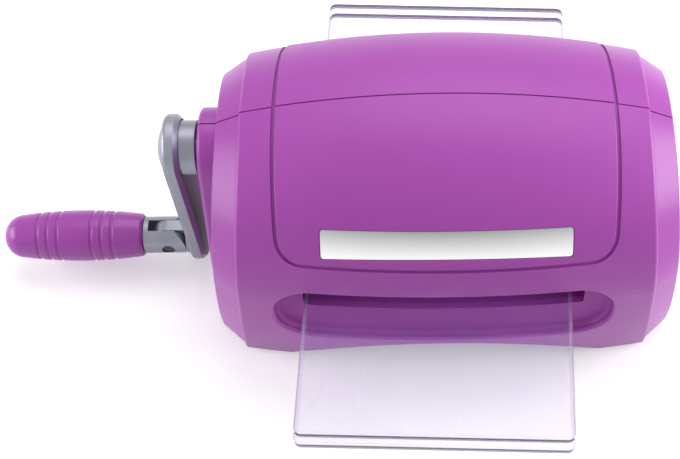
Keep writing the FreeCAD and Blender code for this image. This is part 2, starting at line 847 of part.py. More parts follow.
def lap():
    """Lip under the top of the front half, over which the rear half closes."""
    half, reach, wall = number("lap_half_width"), number("lap_reach"), number("wall")
    low, high = number("widest_level"), number("crest_height")
    inside = barrel(wall + number("lap_gap") + number("lap_thickness"))
    behind = barrel(wall + number("lap_gap")).common(block(-half, half, 0, reach, low, high))
    root_form = barrel(wall / 2).common(block(-half, half, -reach, 0, low, high))
    return behind.fuse(root_form).cut(inside)


def make_housing():
    whole = housing_solid()
    reach = 2 * number("crest_height")
    gap = number("parting_groove") / 2
    rim = outer_form(-number("wall")).cut(outer_form(number("parting_groove")))
    rim = rim.common(block(-reach, reach, -gap, gap, 0, reach))
    whole = whole.cut(rim)
    for label, end in (("front_shell", FRONT), ("rear_shell", REAR)):
        low, high = sorted((0, end * reach))
        half = whole.common(block(-reach, reach, low, high, -reach, reach))
        if end == FRONT:
            half = half.fuse(lap())
        feature_of(label, half)


def label_strip():
    strip = barrel(-number("label_proud")).cut(barrel(number("label_thickness") - number("label_proud")))
    return strip.common(label_space(0))


# Base cover, feet and screws

def screw(head_radius, head_height, shank_radius, shank_length):
    """A screw pointing down from the origin, with its head above."""
    head = Part.makeCylinder(head_radius, head_height)
    shank = Part.makeCylinder(shank_radius, shank_length, V(0, 0, 0), -ALONG_Z)
    return head.fuse(shank).removeSplitter()


def screw_group(label, kind, places):
    """Like screws, each given by the place under its head and the direction that it points in."""
    group = []
    for place, direction in places:
        one = kind.copy()
        one.Placement = FreeCAD.Placement(place, FreeCAD.Rotation(-ALONG_Z, direction))
        group.append(one)
    feature_of(label, Part.makeCompound(group))


def make_screws():
    inner, outer = float(FRAME_INNER), float(FRAME_OUTER)
    head_radius, head = number("screw_head_radius"), number("screw_head")
    seat = number("cover_level") + head
    reach = number("frame_base_level") + number("frame_thickness") + head / 2 - seat
    kind = screw(head_radius, head, number("screw_radius"), reach)
    screw_group("frame_screws", kind, [(V(x, y, seat), ALONG_Z) for x, y in FRAME_SCREWS])
    kind = screw(head_radius, head, number("screw_radius"), outer - inner + number("screw_depth"))
    screw_group("tie_bar_screws", kind, [(V(side * outer, float(y), float(level)), ALONG_X * -side)
                                         for side in (LEFT, RIGHT) for y, level in TIE_PLACES])
    kind = screw(number("shell_screw_head_radius"), head, number("shell_screw_radius"),
                 number("shell_seat_depth") + number("screw_depth") - number("end_play"))
    screw_group("shell_screws", kind, [(V(x, number("shell_seat_depth"), level), -ALONG_Y)
                                       for x, level in SHELL_SCREWS])
    reach = number("cover_thickness") - number("base_screw_head") + number("screw_depth") - number("end_play")
    kind = screw(number("shell_screw_head_radius"), number("base_screw_head"), number("shell_screw_radius"), reach)
    screw_group("base_screws", kind, [(V(x, y, number("cover_level") + number("base_screw_head")), ALONG_Z)
                                      for x, y in BASE_SCREWS])


def make_base_cover():
    """Floor of the housing, which follows the arch between two flat ends."""
    gap = number("cover_gap")
    reach = number("rim_half_width")
    low = number("cover_level")
    slab = block(-reach, reach, -reach, reach, low, COVER_TOP).fuse(arch(number("cover_thickness")))
    bosses = [Part.makeCylinder(number("screw_boss_radius"), number("frame_base_level") - low, V(x, y, low))
              for x, y in FRAME_SCREWS]
    slab = slab.common(block(-reach, reach, -reach, reach, low, reach)).fuse(bosses).cut(arch(0))
    cover = slab.common(housing_form(number("wall") + gap))
    cover = cover.cut([recess(end, number("wall") + gap) for end in (FRONT, REAR)])
    holes = []
    shank, head = number("screw_radius") + gap, number("screw_head_radius") + gap
    for x, y in FRAME_SCREWS:
        holes.append(Part.makeCylinder(shank, 2 * number("frame_base_level"), V(x, y, 0)))
        holes.append(Part.makeCylinder(head, low + number("screw_head"), V(x, y, 0)))
    for x, y in FEET:
        holes.append(Part.makeCylinder(number("foot_stem_radius") + number("running_clearance"),
                                       2 * COVER_TOP, V(x, y, 0)))
    for x, y in BASE_SCREWS:
        holes.append(Part.makeCylinder(number("shell_screw_radius") + gap, 2 * COVER_TOP, V(x, y, 0)))
        holes.append(Part.makeCylinder(number("shell_screw_head_radius") + gap,
                                       low + number("base_screw_head"), V(x, y, 0)))
    feature_of("base_cover", cover.cut(holes))


def make_feet():
    """Rubber feet, each pushed through a hole of the base cover."""
    for x, y in FEET:
        label = "foot_%s_%s" % ("front" if y < 0 else "rear", "left" if x < 0 else "right")
        body = new_body(label)
        sketch = new_sketch(body, label + "_profile", "XZ_Plane")
        low = size("cover_level")
        top = size("cover_level") + size("cover_thickness")
        add_outline(sketch, [(0, 0), (size("foot_radius") - size("foot_round"), 0),
                             (size("foot_radius"), size("foot_round")), (size("foot_radius"), low),
                             (size("foot_stem_radius"), low), (size("foot_stem_radius"), top),
                             (size("foot_head_radius"), top),
                             (size("foot_stem_radius") * size("foot_tip_share"), top + size("foot_head")),
                             (0, top + size("foot_head"))])
        revolved(body, "Revolution", label + "_turned", sketch, "V_Axis")
        stand(body, x=size("foot_across") * (1 if x > 0 else -1), y=size("foot_along") * (1 if y > 0 else -1))


# Side frames, tie bars and feed tables

TIE_PLACES = [(size("lower_tie_across") * end, LOWER_TIE_LEVEL) for end in (FRONT, REAR)]
TIE_PLACES += [(size("upper_tie_across") * end, UPPER_TIE_LEVEL) for end in (FRONT, REAR)]


def make_side_frame(label, side):
    """Steel side plate, with the tabs by which it stands on the base cover."""
    body = new_body(label)
    start = FRAME_INNER if side == RIGHT else -FRAME_OUTER
    base, top = size("frame_base_half"), size("frame_top_half")
    low, shoulder, high = size("frame_base_level"), size("frame_shoulder_level"), FRAME_TOP
    plate = new_sketch(body, label + "_outline", "YZ_Plane", start)
    add_outline(plate, [(-base, low), (base, low), (base, shoulder),
                        (top, high), (-top, high), (-base, shoulder)])
    pad(body, label + "_plate", plate, size("frame_thickness"))
    holes = new_sketch(body, label + "_holes", "YZ_Plane", start)
    axles = [LOWER_AXIS, UPPER_AXIS]
    if side == LEFT:
        axles.append(CRANK_AXIS)
    for level in axles:
        add_circle(holes, 0, level, size("bush_radius") + size("running_clearance"))
    for y, level in TIE_PLACES:
        add_circle(holes, y, level, size("screw_radius") + size("cover_gap"))
    for end in (FRONT, REAR):
        add_circle(holes, size("frame_hole_along") * end, UPPER_AXIS, size("frame_hole_radius"))
    pocket(body, label + "_bores", holes, size("frame_thickness"), backwards=True)
    tabs = new_sketch(body, label + "_tabs", "XY_Plane", low)
    near, far = FRAME_INNER, FRAME_OUTER + size("tab_reach")
    if side == LEFT:
        near, far = -far, -near
    for end in (FRONT, REAR):
        middle = size("tab_screw_across") * end
        half = size("tab_width") / 2
        add_rectangle(tabs, near, far, middle - half, middle + half)
        add_circle(tabs, (FRAME_OUTER + size("tab_screw_along")) * side, middle,
                   size("screw_radius") + size("running_clearance"))
    pad(body, label + "_feet", tabs, size("frame_thickness"))
    dressed(body, "Fillet", label + "_corners",
            lambda point: close(abs(point.y), top) and close(point.z, high), size("frame_corner"))


def make_tie_bars():
    """Round bars between the side frames, with a threaded hole in each end."""
    labels = ["lower_tie_bar_front", "lower_tie_bar_rear", "upper_tie_bar_front", "upper_tie_bar_rear"]
    end, depth = FRAME_INNER, size("screw_depth") + size("end_play")
    hole = size("screw_radius") + size("running_clearance")
    for label, (y, level) in zip(labels, TIE_PLACES):
        body = turned(label, [(-end, hole), (-end, size("tie_bar_radius")), (end, size("tie_bar_radius")),
                              (end, hole), (end - depth, hole), (end - depth, 0), (depth - end, 0),
                              (depth - end, hole)], level)
        stand(body, y=y)


def make_feed_table(label, end):
    """Table that carries the plates from the slot to the rollers, clipped on a lower tie bar."""
    body = new_body(label)
    half = FRAME_INNER - size("table_side_gap")
    inner = -size("table_inner")
    bow_centre = size("depth_bow") - size("half_depth")
    bow = size("depth_bow") - size("recess_depth") - size("wall") - size("table_end_gap")
    corner = bow_centre - root(bow * bow - half * half)
    slab = new_sketch(body, label + "_outline", "XY_Plane", TABLE_UNDER)
    add_outline(slab, [(-half, inner), (-half, corner, bow), (half, corner), (half, inner)])
    pad(body, label + "_slab", slab, size("table_thickness"))
    sides = new_sketch(body, label + "_sides", "XY_Plane", TABLE_UNDER)
    for low, high in ((-half, -half + size("upstand_thickness")), (half - size("upstand_thickness"), half)):
        add_rectangle(sides, low, high, corner + size("table_thickness"), inner)
    pad(body, label + "_upstands", sides, size("table_thickness") + size("upstand_height"))
    rib = new_sketch(body, label + "_rib", "YZ_Plane", -size("rib_spacing"))
    bar = -size("lower_tie_across")
    saddle = size("tie_bar_radius") + size("running_clearance")
    foot = TABLE_UNDER - size("rib_depth")
    root_level = TABLE_UNDER + size("table_thickness") / 2
    for way in (-1, 1):
        add_outline(rib, [(bar + saddle * way, foot), (bar + saddle * way, LOWER_TIE_LEVEL, saddle * way),
                          (bar, LOWER_TIE_LEVEL + saddle), (bar, root_level),
                          (bar + saddle * size("rib_root_share") * way, root_level),
                          (bar + saddle * size("rib_foot_share") * way, foot)])
    ribs = pad(body, label + "_first_rib", rib, size("rib_thickness"), both_ways=True)
    pattern = body.newObject("PartDesign::LinearPattern", label + "_ribs")
    pattern.Originals = [ribs]
    pattern.Direction = (origin_plane(body, "X_Axis"), [""])
    bind(pattern, "Length", size("rib_spacing") * 2)
    pattern.Occurrences = 3
    body.Tip = pattern
    doc.recompute()
    if end == REAR:
        body.Placement = FreeCAD.Placement(V(0, 0, 0), FreeCAD.Rotation(ALONG_Z, 180))


# Rollers, bushes and clips

def journal(groove):
    """End of a roller, from the clip groove outwards: (x, radius) points."""
    radius = size("journal_radius")
    waist = radius - size("clip_thickness")
    tip = groove + size("clip_groove") + size("journal_tip")
    edge = size("journal_edge")
    return [(groove, radius), (groove, waist), (groove + size("clip_groove"), waist),
            (groove + size("clip_groove"), radius), (tip - edge, radius), (tip, radius - edge), (tip, 0)]


def make_roller(label, level, left_groove, right_groove, pin_places):
    """Steel roller with its journals, turned from one bar."""
    half, radius, edge = size("roller_half_length"), size("roller_radius"), size("roller_edge")
    left = [(-x, r) for x, r in reversed(journal(left_groove))]
    middle = [(-half, size("journal_radius")), (-half, radius - edge), (edge - half, radius),
              (half - edge, radius), (half, radius - edge), (half, size("journal_radius"))]
    body = turned(label, left + middle + journal(right_groove), level)
    for index, place in enumerate(pin_places, 1):
        cross_hole(body, "%s_pin_hole_%d" % (label, index), place,
                   size("gear_pin_radius") + size("running_clearance"), size("roller_radius") * 2)


def make_bush(label, side, level):
    """Flanged bush of a side frame."""
    small, large = size("bush_radius"), size("bush_flange_radius")
    points = [(BUSH_INNER, RUNNING_BORE), (BUSH_INNER, small), (FRAME_OUTER, small), (FRAME_OUTER, large),
              (BUSH_OUTER, large), (BUSH_OUTER, RUNNING_BORE)]
    turned(label, [(x * side, r) for x, r in points], level)


def retaining_clip(x, level, bore, radius, thickness):
    """A flat spring clip about an axis along X, open below."""
    ring = Part.makeCylinder(radius, thickness, V(x, 0, level), ALONG_X)
    ring = ring.cut(Part.makeCylinder(bore, thickness, V(x, 0, level), ALONG_X))
    half_opening = bore * number("clip_opening_share")
    return ring.cut(block(x, x + thickness, -half_opening, half_opening, level - 2 * radius, level))


def make_roller_clips(label, level, left_groove, right_groove):
    thickness = number("clip_thickness")
    slack = (number("clip_groove") - thickness) / 2
    bore = number("journal_radius") - number("clip_thickness") + number("running_clearance")
    clips = [retaining_clip(x, float(level), bore, number("clip_radius"), thickness)
             for x in (-float(left_groove) - slack - thickness, float(right_groove) + slack)]
    feature_of(label, Part.makeCompound(clips))


LOWER_LEFT_GROOVE = DRIVE_END + size("end_play")
UPPER_LEFT_GROOVE = BUSH_OUTER + size("end_play")
RIGHT_GROOVE = ROLLER_GEAR_END + size("end_play")
DRIVE_PIN_PLACE = -(GEAR_START + size("drive_neck") / 2)
PINION_PIN_PLACE = -(GEAR_START + size("pinion_neck") / 2)
ROLLER_PIN_PLACE = GEAR_START + size("roller_gear_neck") / 2


# Gears

def involute(angle):
    return math.tan(angle) - angle


def tooth_point(teeth, reach):
    """Point of a tooth's flank that lies reach modules outside the pitch circle, in modules."""
    pitch = teeth / 2
    radius = pitch + reach
    base = pitch * math.cos(PRESSURE_ANGLE)
    roll = math.acos(min(1, base / radius))
    turn = math.pi / (2 * teeth) + involute(PRESSURE_ANGLE) - involute(roll)
    return radius * math.sin(turn), radius * math.cos(turn)


def add_tooth(sketch, teeth, module):
    """Outline of one tooth at the top of a gear, its flanks as arcs that follow the involute."""
    tip = number("tooth_tip")
    form = max(-number("tooth_root"), teeth / 2 * math.cos(PRESSURE_ANGLE) - teeth / 2)
    low, middle, high = [tooth_point(teeth, reach) for reach in (form, (form + tip) / 2, tip)]
    flank = Part.Arc(V(low[0], low[1], 0), V(middle[0], middle[1], 0), V(high[0], high[1], 0)).toShape()
    bend = flank.Curve.Radius * module * -1
    slack = size("tooth_backlash") / 4
    heel = (teeth / 2 - number("tooth_root") - number("tooth_heel")) * module
    low_x, high_x = low[0] * module - slack, high[0] * module - slack
    low_y, high_y = low[1] * module, high[1] * module
    add_outline(sketch, [(-low_x, heel), (-low_x, low_y, bend), (-high_x, high_y),
                         (high_x, high_y, bend), (low_x, low_y), (low_x, heel)])


def make_gear(label, side, teeth_name, module, level, neck, face, hub, hub_proud, turn, web=None):
    """Gear on the outer side of a frame: hub, disc and teeth, with a cross hole for its pin."""
    teeth = SIZES[teeth_name]
    disc = (teeth / 2 - number("tooth_root")) * module
    face_start = GEAR_START + neck
    face_end = face_start + face
    end = face_end + hub_proud
    profile = [(GEAR_START, RUNNING_BORE), (GEAR_START, hub)]
    if web:
        rim = disc - size("drive_rim")
        sink = (face - size("drive_web")) / 2
        profile += [(face_start + sink, hub), (face_start + sink, rim), (face_start, rim), (face_start, disc),
                    (face_end, disc), (face_end, rim), (face_end - sink, rim), (face_end - sink, hub)]
    else:
        profile += [(face_start, hub), (face_start, disc), (face_end, disc), (face_end, hub)]
    profile += [(end, hub), (end, RUNNING_BORE)]
    if float(hub_proud) == 0:
        profile = profile[:-3] + [(end, RUNNING_BORE)]
    body = turned(label, [(x * side, r) for x, r in profile], level)
    tooth = new_sketch(body, label + "_tooth", "YZ_Plane", face_start if side == RIGHT else -face_end)
    tooth.AttachmentOffset = FreeCAD.Placement(tooth.AttachmentOffset.Base, FreeCAD.Rotation(ALONG_Z, turn))
    add_tooth(tooth, teeth, module)
    first = pad(body, label + "_first_tooth", tooth, face)
    around(body, label + "_teeth", first, "X_Axis", size(teeth_name))
    if web:
        middle = (rim + hub) / 2
        hole = new_sketch(body, label + "_web_hole", "YZ_Plane", -face_end)
        add_circle(hole, 0, middle, size("drive_hole_radius"))
        opening = pocket(body, label + "_first_web_hole", hole, face, backwards=True)
        around(body, label + "_web_holes", opening, "X_Axis", 6)
    cross_hole(body, label + "_pin_hole", (GEAR_START + neck / 2) * side,
               size("gear_pin_radius") + size("running_clearance"), hub * 3)


def make_gears():
    # The pinion has a gap between two teeth at its lowest point, where the drive gear has a tooth
    half_pitch = 180 / SIZES["pinion_teeth"] if SIZES["pinion_teeth"] % 2 == 0 else 0
    upper_turn = 180 / SIZES["roller_teeth"] if SIZES["roller_teeth"] % 2 == 0 else 0
    make_gear("drive_gear", LEFT, "drive_teeth", DRIVE_MODULE, LOWER_AXIS, size("drive_neck"),
              size("drive_face"), size("drive_hub_radius"), size("drive_hub_proud"), 0, web=True)
    make_gear("crank_pinion", LEFT, "pinion_teeth", DRIVE_MODULE, CRANK_AXIS, size("pinion_neck"),
              size("pinion_face"), size("pinion_hub_radius"), size("pinion_hub_proud"), half_pitch)
    pair = (("lower_roller_gear", LOWER_AXIS, 0), ("upper_roller_gear", UPPER_AXIS, upper_turn))
    for label, level, turn in pair:
        make_gear(label, RIGHT, "roller_teeth", ROLLER_MODULE, level, size("roller_gear_neck"),
                  size("roller_gear_face"), size("roller_gear_hub_radius"), 0.0, turn)


def make_pin(label, place, level, hub):
    """Roll pin from front to rear through a hub and its shaft."""
    body = new_body(label)
    sketch = new_sketch(body, label + "_circle", "XZ_Plane")
    add_circle(sketch, place, 0, size("gear_pin_radius"))
    pad(body, label + "_bar", sketch, (hub - size("end_play")) * 2, both_ways=True)
    stand(body, z=level)


# Crank

def make_crank_shaft():
    """Shaft with a square end for the arm, and a threaded hole for the arm's screw."""
    radius = size("journal_radius")
    hole = size("arm_screw_radius") + size("running_clearance")
    end = ARM_INNER + size("square_length") - size("running_clearance")
    depth = size("arm_screw_depth")
    edge = size("journal_edge")
    profile = [(-BUSH_INNER, 0), (-BUSH_INNER, radius - edge), (-BUSH_INNER - edge, radius),
               (-ARM_INNER, radius), (-ARM_INNER, hole), (depth - end, hole), (depth - end, 0)]
    body = turned("crank_shaft", profile, CRANK_AXIS)
    square = new_sketch(body, "crank_shaft_square", "YZ_Plane", -ARM_INNER)
    half = size("square_end") / 2
    add_rectangle(square, -half, half, -half, half)
    add_circle(square, 0, 0, hole)
    pad(body, "crank_shaft_square_end", square, end - ARM_INNER, backwards=True)
    pin_hole = size("gear_pin_radius") + size("running_clearance")
    cross_hole(body, "crank_shaft_pin_hole", PINION_PIN_PLACE, pin_hole, radius * 3)


def make_crank_fittings():
    """Bush in the housing wall, hub sleeve, screw and cap on the crank's axis."""
    small, large = size("case_bush_radius"), size("case_bush_flange_radius")
    end = size("pad_half_width") - size("pad_lean") * (CRANK_AXIS + small)
    turned("crank_case_bush", [(-CASE_BUSH_START, RUNNING_BORE), (-CASE_BUSH_START, large),
                               (-CASE_BUSH_SEAT, large), (-CASE_BUSH_SEAT, small), (-end, small),
                               (-end, RUNNING_BORE)], CRANK_AXIS)
    hub, edge = size("hub_radius"), size("hub_edge")
    turned("crank_hub", [(-HUB_START, RUNNING_BORE), (-HUB_START, hub - edge), (-HUB_START - edge, hub),
                         (-ARM_INNER, hub), (-ARM_INNER, RUNNING_BORE)], CRANK_AXIS)
    floor = ARM_OUTER - size("cap_seat")
    head, shank = size("arm_screw_head_radius"), size("arm_screw_radius")
    tip = ARM_INNER + size("square_length") - size("arm_screw_depth") + size("end_play")
    head_top = floor + size("arm_screw_head")
    turned("arm_screw", [(-tip, 0), (-tip, shank), (-floor, shank), (-floor, head),
                         (-head_top, head - edge), (-head_top, 0)], CRANK_AXIS)
    cap, dome = size("cap_radius"), size("cap_dome")
    bend = (cap * cap + dome * dome) / (dome * 2)
    inside = head_top + size("end_play")
    hollow = head + size("end_play")
    turned("crank_cap", [(-floor, hollow), (-floor, cap), (-ARM_OUTER, cap, bend), (-ARM_OUTER - dome, 0),
                         (-inside, 0), (-inside, hollow)], CRANK_AXIS)


def make_crank_arm():
    """Cast arm from the crank's axis to the handle, with a tongue at its lower end for the fork."""
    body = new_body("crank_arm")
    outline = new_sketch(body, "crank_arm_outline", "YZ_Plane", -ARM_INNER)
    high, low = size("arm_top_radius"), size("arm_low_radius")
    drop = size("crank_throw")
    lean = (low - high) / drop
    aside = root(1 - lean * lean)
    add_outline(outline, [(0, high, -high), (high * aside, high * lean),
                          (low * aside, low * lean - drop, -low), (0, -drop - low, -low),
                          (-low * aside, low * lean - drop), (-high * aside, high * lean, -high)])
    pad(body, "crank_arm_plate", outline, size("arm_thickness"), backwards=True)
    dressed(body, "Fillet", "crank_arm_outer_edge",
            lambda point: close(point.x, -ARM_OUTER), size("arm_round"))
    dressed(body, "Chamfer", "crank_arm_inner_edge",
            lambda point: close(point.x, -ARM_INNER), size("arm_chamfer"))
    seat = new_sketch(body, "crank_arm_seat", "YZ_Plane", -ARM_OUTER)
    add_circle(seat, 0, 0, size("cap_radius") + size("running_clearance"))
    pocket(body, "crank_arm_cap_seat", seat, size("cap_seat"), backwards=True)
    square = new_sketch(body, "crank_arm_square", "YZ_Plane", -ARM_INNER)
    half = size("square_end") / 2 + size("running_clearance")
    add_rectangle(square, -half, half, -half, half)
    pocket(body, "crank_arm_square_hole", square, size("square_length"))
    bore = new_sketch(body, "crank_arm_bore", "YZ_Plane", -ARM_INNER)
    add_circle(bore, 0, 0, size("arm_screw_radius") + size("running_clearance"))
    pocket(body, "crank_arm_screw_hole", bore, size("arm_thickness"))
    lug = new_sketch(body, "crank_arm_lug", "YZ_Plane", -ARM_OUTER)
    add_circle(lug, 0, -drop, size("fork_radius"))
    pad(body, "crank_arm_round_lug", lug, size("lug_proud"), backwards=True)
    tongue = new_sketch(body, "crank_arm_tongue", "XZ_Plane")
    thick = size("tongue_radius")
    add_outline(tongue, [(-ARM_OUTER, -drop - thick), (-ARM_OUTER, thick - drop),
                         (-PIN_ACROSS, thick - drop, thick), (-PIN_ACROSS - thick, -drop, thick),
                         (-PIN_ACROSS, -drop - thick)])
    pad(body, "crank_arm_tongue_plate", tongue, size("tongue_thickness"), both_ways=True)
    eye = new_sketch(body, "crank_arm_eye", "XZ_Plane")
    add_circle(eye, -PIN_ACROSS, -drop, size("fold_pin_radius") + size("running_clearance"))
    pocket(body, "crank_arm_pin_hole", eye, size("tongue_thickness") * 2, both_ways=True)
    stand(body, z=CRANK_AXIS)


# Folding handle

def make_fork():
    """Turned fork of the handle: two cheeks about the tongue, and a spigot for the grip."""
    wide, narrow, edge = size("fork_radius"), size("spigot_radius"), size("fork_edge")
    hole = size("spindle_radius") + size("running_clearance") / 2
    profile = [(wide - PIN_ACROSS, 0), (wide - PIN_ACROSS, wide), (edge - FORK_END, wide),
               (-FORK_END, wide - edge), (-FORK_END, narrow), (-SPIGOT_END, narrow),
               (-SPIGOT_END, hole), (-SPINDLE_START, hole), (-SPINDLE_START, 0)]
    body = turned("handle_fork", profile, PIN_LEVEL)
    slot = new_sketch(body, "handle_fork_slot", "XY_Plane")
    half = size("tongue_thickness") / 2 + size("fork_slot_gap")
    add_rectangle(slot, -PIN_ACROSS - size("fork_slot_depth"), wide * 1.5 - PIN_ACROSS, -half, half)
    pocket(body, "handle_fork_slot_cut", slot, wide * 3, both_ways=True)
    cheek = new_sketch(body, "handle_fork_cheek", "XZ_Plane")
    outside = wide * 1.5
    add_outline(cheek, [(-PIN_ACROSS, wide, -wide), (wide - PIN_ACROSS, 0, -wide), (-PIN_ACROSS, -wide),
                        (-PIN_ACROSS, -outside), (outside - PIN_ACROSS, -outside),
                        (outside - PIN_ACROSS, outside), (-PIN_ACROSS, outside)])
    pocket(body, "handle_fork_cheek_cut", cheek, wide * 3, both_ways=True)
    pin_hole = size("fold_pin_radius") + size("running_clearance") / 2
    cross_hole(body, "handle_fork_pin_hole", -PIN_ACROSS, pin_hole, wide * 3)


def make_fold_pin():
    body = new_body("fold_pin")
    sketch = new_sketch(body, "fold_pin_circle", "XZ_Plane")
    add_circle(sketch, -PIN_ACROSS, 0, size("fold_pin_radius"))
    pad(body, "fold_pin_bar", sketch, size("fold_pin_length"), both_ways=True)
    half = size("fold_pin_length") / 2
    dressed(body, "Chamfer", "fold_pin_ends", lambda point: close(abs(point.y), half), size("fork_edge"))
    stand(body, z=PIN_LEVEL)


def make_spindle():
    """Steel spindle of the grip, with a groove for the snap ring, and the ring in it."""
    radius, edge = size("spindle_radius"), size("fork_edge")
    waist = radius - size("clip_thickness")
    groove_end = SNAP_RING_PLACE + size("clip_groove")
    turned("handle_spindle", [(-SPINDLE_START, 0), (-SPINDLE_START, radius), (-SNAP_RING_PLACE, radius),
                              (-SNAP_RING_PLACE, waist), (-groove_end, waist), (-groove_end, radius),
                              (edge - SPINDLE_END, radius), (-SPINDLE_END, radius - edge), (-SPINDLE_END, 0)],
           PIN_LEVEL)
    thickness = number("clip_thickness")
    slack = (number("clip_groove") - thickness) / 2
    ring = retaining_clip(-float(SNAP_RING_PLACE) - slack - thickness, float(PIN_LEVEL),
                          float(waist) + number("running_clearance"), number("snap_ring_radius"), thickness)
    feature_of("grip_snap_ring", ring)


def make_grip():
    """Swelling grip with two groups of grooves, hollow over the spigot and the spindle."""
    start = FORK_END + size("fork_gap")
    end = start + size("grip_length")
    edge = size("grip_end_radius")
    swell_start = start + size("grip_neck_round")
    swell_end = end - size("grip_nose_length")
    swell = size("grip_swell")
    half_chord = (swell_end - swell_start) / 2
    bend = (half_chord * half_chord + swell * swell) / (swell * 2)
    middle = (swell_start + swell_end) / 2
    half_groove, depth = size("grip_groove_width") / 2, size("grip_groove_depth")
    groove_bend = (half_groove * half_groove + depth * depth) / (depth * 2)
    outside = [(-start, edge - size("grip_neck_round")), (-swell_start, edge, bend)]
    for group in (size("grip_group_near"), size("grip_group_far")):
        for index in range(3):
            groove = start + group + size("grip_groove_pitch") * (index - 1)
            for place, next_bend in ((groove - half_groove, -groove_bend), (groove + half_groove, bend)):
                out = place - middle
                surface = edge + swell - bend + root(bend * bend - out * out)
                outside.append((-place, surface, next_bend))
    outside += [(-swell_end, edge, size("grip_nose_round")), (-end, size("grip_nose_flat")), (-end, 0)]
    play = size("running_clearance")
    wide_bore, bore = size("spigot_radius") + play, size("spindle_radius") + play
    wide_end = SPIGOT_END + size("end_play")
    bore_end = SPINDLE_END + size("end_play")
    cave = size("snap_ring_radius") + play
    cave_start = SNAP_RING_PLACE - size("end_play")
    cave_end = SNAP_RING_PLACE + size("clip_groove") + size("end_play")
    inside = [(-bore_end, 0), (-bore_end, bore), (-cave_end, bore), (-cave_end, cave), (-cave_start, cave),
              (-cave_start, bore), (-wide_end, bore), (-wide_end, wide_bore), (-start, wide_bore)]
    turned("grip", outside + inside, PIN_LEVEL)


# Cutting plates

def make_plate(label, level, lead):
    """Clear plate with round corners, lying a little askew between the rollers."""
    body = new_body(label)
    sketch = new_sketch(body, label + "_outline", "XY_Plane")
    half_width, half_length = size("plate_width") / 2, size("plate_length") / 2
    add_rectangle(sketch, -half_width, half_width, -half_length, half_length)
    pad(body, label + "_slab", sketch, size("plate_thickness"))
    dressed(body, "Fillet", label + "_corners",
            lambda point: close(abs(point.x), half_width) and close(abs(point.y), half_length),
            size("plate_corner"))
    turn = math.radians(number("plate_turn"))
    body.Placement = FreeCAD.Placement(V(0, 0, 0), FreeCAD.Rotation(-ALONG_Z, number("plate_turn")))
    stand(body, x=size("plate_aside") - lead * math.sin(turn),
          y=-size("plate_forward") - lead * math.cos(turn), z=level)


make_housing()
feature_of("label_plate", label_strip())
make_base_cover()
make_feet()
make_side_frame("left_side_frame", LEFT)
make_side_frame("right_side_frame", RIGHT)
make_tie_bars()
make_feed_table("front_feed_table", FRONT)
make_feed_table("rear_feed_table", REAR)
make_roller("lower_roller", LOWER_AXIS, LOWER_LEFT_GROOVE, RIGHT_GROOVE, [DRIVE_PIN_PLACE, ROLLER_PIN_PLACE])
make_roller("upper_roller", UPPER_AXIS, UPPER_LEFT_GROOVE, RIGHT_GROOVE, [ROLLER_PIN_PLACE])
for row, axis in (("lower", LOWER_AXIS), ("upper", UPPER_AXIS)):
    make_bush(row + "_roller_bush_left", LEFT, axis)
    make_bush(row + "_roller_bush_right", RIGHT, axis)
make_bush("crank_frame_bush", LEFT, CRANK_AXIS)
make_roller_clips("lower_roller_clips", LOWER_AXIS, LOWER_LEFT_GROOVE, RIGHT_GROOVE)
make_roller_clips("upper_roller_clips", UPPER_AXIS, UPPER_LEFT_GROOVE, RIGHT_GROOVE)
make_gears()
make_pin("drive_gear_pin", DRIVE_PIN_PLACE, LOWER_AXIS, size("drive_hub_radius"))
make_pin("crank_pinion_pin", PINION_PIN_PLACE, CRANK_AXIS, size("pinion_hub_radius"))
make_pin("lower_roller_gear_pin", ROLLER_PIN_PLACE, LOWER_AXIS, size("roller_gear_hub_radius"))
make_pin("upper_roller_gear_pin", ROLLER_PIN_PLACE, UPPER_AXIS, size("roller_gear_hub_radius"))
make_crank_shaft()
make_crank_fittings()
make_crank_arm()
make_fork()
make_fold_pin()
make_spindle()
make_grip()
make_plate("upper_cutting_plate", size("plate_level"), 0.0)
make_plate("lower_cutting_plate", PLATE_BOTTOM, size("lower_plate_lead"))
make_screws()

doc.recompute()
pieces = [thing for thing in doc.Objects if thing.TypeId in ("PartDesign::Body", "Part::Feature")]
for thing in doc.Objects:
    if "Invalid" in thing.State or "Error" in thing.State:
        raise RuntimeError(thing.Label + " has failed")
for piece in pieces:
    if piece.Shape.isNull() or not piece.Shape.isValid():
        raise RuntimeError(piece.Label + " has no valid shape")
os.makedirs("parts", exist_ok=True)
for piece in pieces:
    piece.Shape.exportStep("parts/" + piece.Label + ".step")
    print(piece.Label, len(piece.Shape.Solids), round(piece.Shape.Volume))
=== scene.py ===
import json
import math

import bpy
from mathutils import Matrix, Vector


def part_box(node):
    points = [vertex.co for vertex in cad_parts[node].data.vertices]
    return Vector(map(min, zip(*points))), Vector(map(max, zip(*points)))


# Manual die cutting machine, dressed from its CAD model. Metres, +X right, +Y back, +Z up.

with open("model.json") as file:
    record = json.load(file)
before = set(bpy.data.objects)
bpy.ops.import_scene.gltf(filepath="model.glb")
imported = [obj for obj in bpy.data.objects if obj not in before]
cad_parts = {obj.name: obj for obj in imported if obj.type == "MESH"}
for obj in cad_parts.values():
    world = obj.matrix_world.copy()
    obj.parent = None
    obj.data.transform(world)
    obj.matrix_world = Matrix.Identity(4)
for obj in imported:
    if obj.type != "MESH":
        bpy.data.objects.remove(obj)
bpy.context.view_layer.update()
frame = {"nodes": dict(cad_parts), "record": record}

IMAGE_WIDTH, IMAGE_HEIGHT = 680, 459
X, Y, Z = 0, 1, 2


# Colours and places that the materials share

def srgb(red, green, blue):
    """A colour written as 0-255 values, as linear light."""
    parts = []
    for value in (red, green, blue):
        share = value / 255
        parts.append(share / 12.92 if share <= 0.04045 else ((share + 0.055) / 1.055) ** 2.4)
    return (*parts, 1.0)


